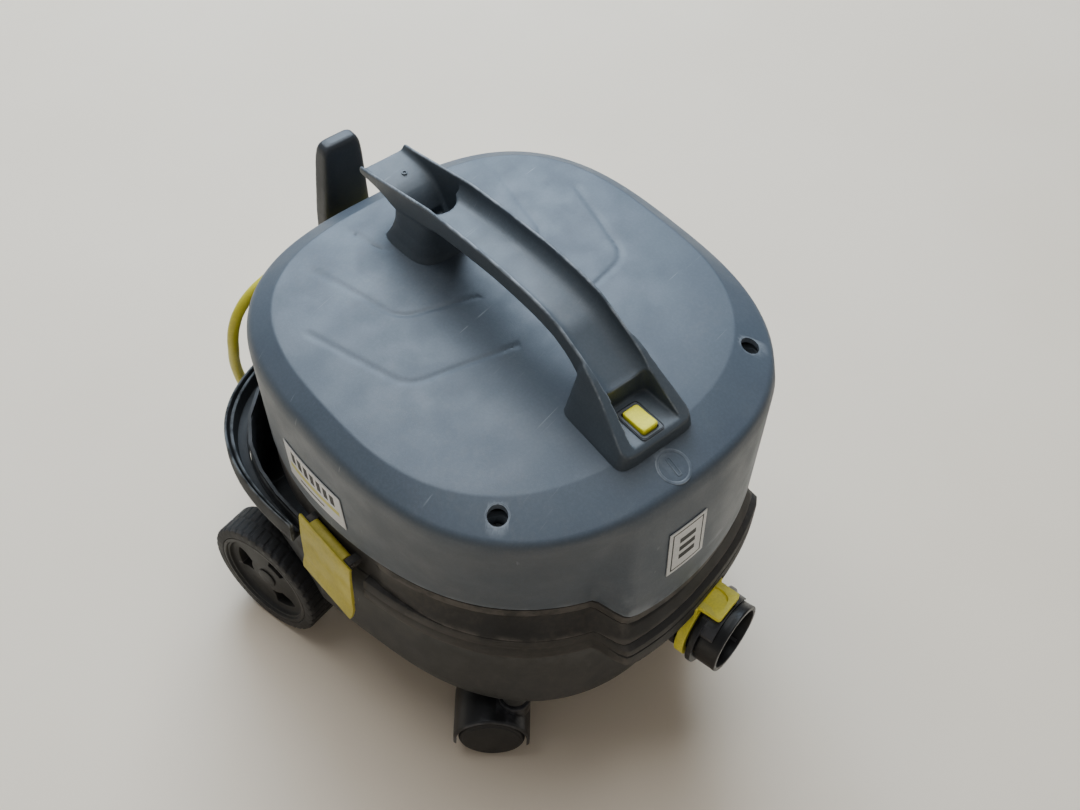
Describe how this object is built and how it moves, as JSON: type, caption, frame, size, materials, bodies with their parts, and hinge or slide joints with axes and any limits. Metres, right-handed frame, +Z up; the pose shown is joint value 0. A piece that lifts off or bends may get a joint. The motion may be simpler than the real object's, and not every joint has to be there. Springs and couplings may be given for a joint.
{
  "type": "canister vacuum cleaner",
  "caption": "Commercial dry canister vacuum cleaner: grey lid with carry handle and rocker switch, dark tub, side latches, hose inlet, rear wheels and front casters",
  "frame": {"origin": "Centre of the footprint on the floor, at the middle of the length and width without the mains cord", "axes": "+Z up, -Y is the front with the hose inlet, +Y is the rear with the large wheels and cable hook, X runs across along the rear axle"},
  "size_m": [0.3687, 0.5123, 0.344],
  "materials": {
    "panel_grey": "fine moulded grain, scuffed, cool grey",
    "tub_grey": "moulded grain, worn and dusty",
    "bumper_black": "dull brown-black, scuffed",
    "black_plastic": "smooth black moulding",
    "yellow_plastic": "satin yellow, lightly soiled",
    "rubber": "soft dull black",
    "steel": "plain bright steel",
    "filter_cloth": "white nonwoven fleece",
    "label_film": null,
    "cord_jacket": "yellow PVC jacket",
    "cast_metal": "plain pressed sheet"
  },
  "bodies": {
    "container": {"container_tub": "tub_grey", "rim_bumper_front": "bumper_black", "rim_bumper_rear": "bumper_black", "lid_seal": "rubber", "inlet_socket": "tub_grey", "rear_axle": "steel"},
    "lid": {"lid_base": "bumper_black", "lid_cover": "panel_grey", "carry_handle": "panel_grey", "cover_screw_left": "steel", "cover_screw_right": "steel", "switch_bezel": "black_plastic", "switch_body": "black_plastic", "cable_hook": "black_plastic", "cord_gland": "black_plastic", "strain_relief": "rubber", "side_label": "label_film", "front_label": "label_film", "motor_housing": "black_plastic", "motor_filter": "filter_cloth", "main_filter": "filter_cloth", "filter_cage": "black_plastic", "latch_pin_left": "steel", "latch_pin_right": "steel", "power_cord": "cord_jacket", "cord_coil": "cord_jacket", "plug_body": "black_plastic", "plug_pin_left": "steel", "plug_pin_right": "steel"},
    "motor_rotor": {"motor_armature": "steel", "fan_wheel": "cast_metal"},
    "rocker": {"power_rocker": "yellow_plastic"},
    "hose_end": {"hose_adapter": "black_plastic", "clip_ring": "yellow_plastic", "lever_pin": "steel"},
    "hose_swivel": {"hose_sleeve": "black_plastic"},
    "lever": {"release_lever": "yellow_plastic"},
    "latch_left_arm": {"latch_left": "yellow_plastic"},
    "wheel_left": {"rear_wheel_left": "black_plastic", "rear_tyre_left": "rubber", "wheel_cap_left": "black_plastic"},
    "caster_left": {"caster_fork_left": "black_plastic", "caster_axle_left": "steel", "caster_stem_left": "steel"},
    "caster_wheels_left": {"caster_wheel_outer_left": "rubber", "caster_wheel_inner_left": "rubber"},
    "latch_right_arm": {"latch_right": "yellow_plastic"},
    "wheel_right": {"rear_wheel_right": "black_plastic", "rear_tyre_right": "rubber", "wheel_cap_right": "black_plastic"},
    "caster_right": {"caster_fork_right": "black_plastic", "caster_axle_right": "steel", "caster_stem_right": "steel"},
    "caster_wheels_right": {"caster_wheel_outer_right": "rubber", "caster_wheel_inner_right": "rubber"}
  },
  "joints": [
    {"name": "lid_lift", "type": "slide", "parent": "container", "child": "lid", "axis": [0, 0, 1], "range_m": [0, 0.2]},
    {"name": "motor_spin", "type": "hinge", "parent": "lid", "child": "motor_rotor", "pos_m": [0, 0.013, 0.2], "axis": [0, 0, 1], "continuous": true},
    {"name": "rocker_press", "type": "hinge", "parent": "lid", "child": "rocker", "pos_m": [-0.02529, -0.11078, 0.295], "axis": [0.9781, -0.2079, 0], "range_deg": [-12, 0]},
    {"name": "hose_end_pull", "type": "slide", "parent": "container", "child": "hose_end", "axis": [0, -1, 0], "range_m": [0, 0.06]},
    {"name": "hose_turn", "type": "hinge", "parent": "hose_end", "child": "hose_swivel", "pos_m": [0, -0.176, 0.102], "axis": [0, -1, 0], "continuous": true},
    {"name": "lever_press", "type": "hinge", "parent": "hose_end", "child": "lever", "pos_m": [0, -0.165, 0.1314], "axis": [1, 0, 0], "range_deg": [0, 4], "stiffness_Nm_per_rad": 0.3},
    {"name": "latch_left_open", "type": "hinge", "parent": "lid", "child": "latch_left_arm", "pos_m": [-0.1374, 0.0374, 0.163], "axis": [0.2079, 0.9781, 0], "range_deg": [0, 95]},
    {"name": "wheel_left_roll", "type": "hinge", "parent": "container", "child": "wheel_left", "pos_m": [-0.129, 0.11, 0.048], "axis": [1, 0, 0], "continuous": true},
    {"name": "caster_left_swivel", "type": "hinge", "parent": "container", "child": "caster_left", "pos_m": [-0.103, -0.089, 0.04], "axis": [0, 0, 1], "continuous": true},
    {"name": "caster_left_roll", "type": "hinge", "parent": "caster_left", "child": "caster_wheels_left", "pos_m": [-0.11203, -0.07702, 0.023], "axis": [-0.7987, -0.6018, 0], "continuous": true},
    {"name": "latch_right_open", "type": "hinge", "parent": "lid", "child": "latch_right_arm", "pos_m": [0.1374, 0.0374, 0.163], "axis": [0.2079, -0.9781, 0], "range_deg": [0, 95]},
    {"name": "wheel_right_roll", "type": "hinge", "parent": "container", "child": "wheel_right", "pos_m": [0.129, 0.11, 0.048], "axis": [1, 0, 0], "continuous": true},
    {"name": "caster_right_swivel", "type": "hinge", "parent": "container", "child": "caster_right", "pos_m": [0.103, -0.089, 0.04], "axis": [0, 0, 1], "continuous": true},
    {"name": "caster_right_roll", "type": "hinge", "parent": "caster_right", "child": "caster_wheels_right", "pos_m": [0.11203, -0.07702, 0.023], "axis": [0.7987, -0.6018, 0], "continuous": true}
  ]
}
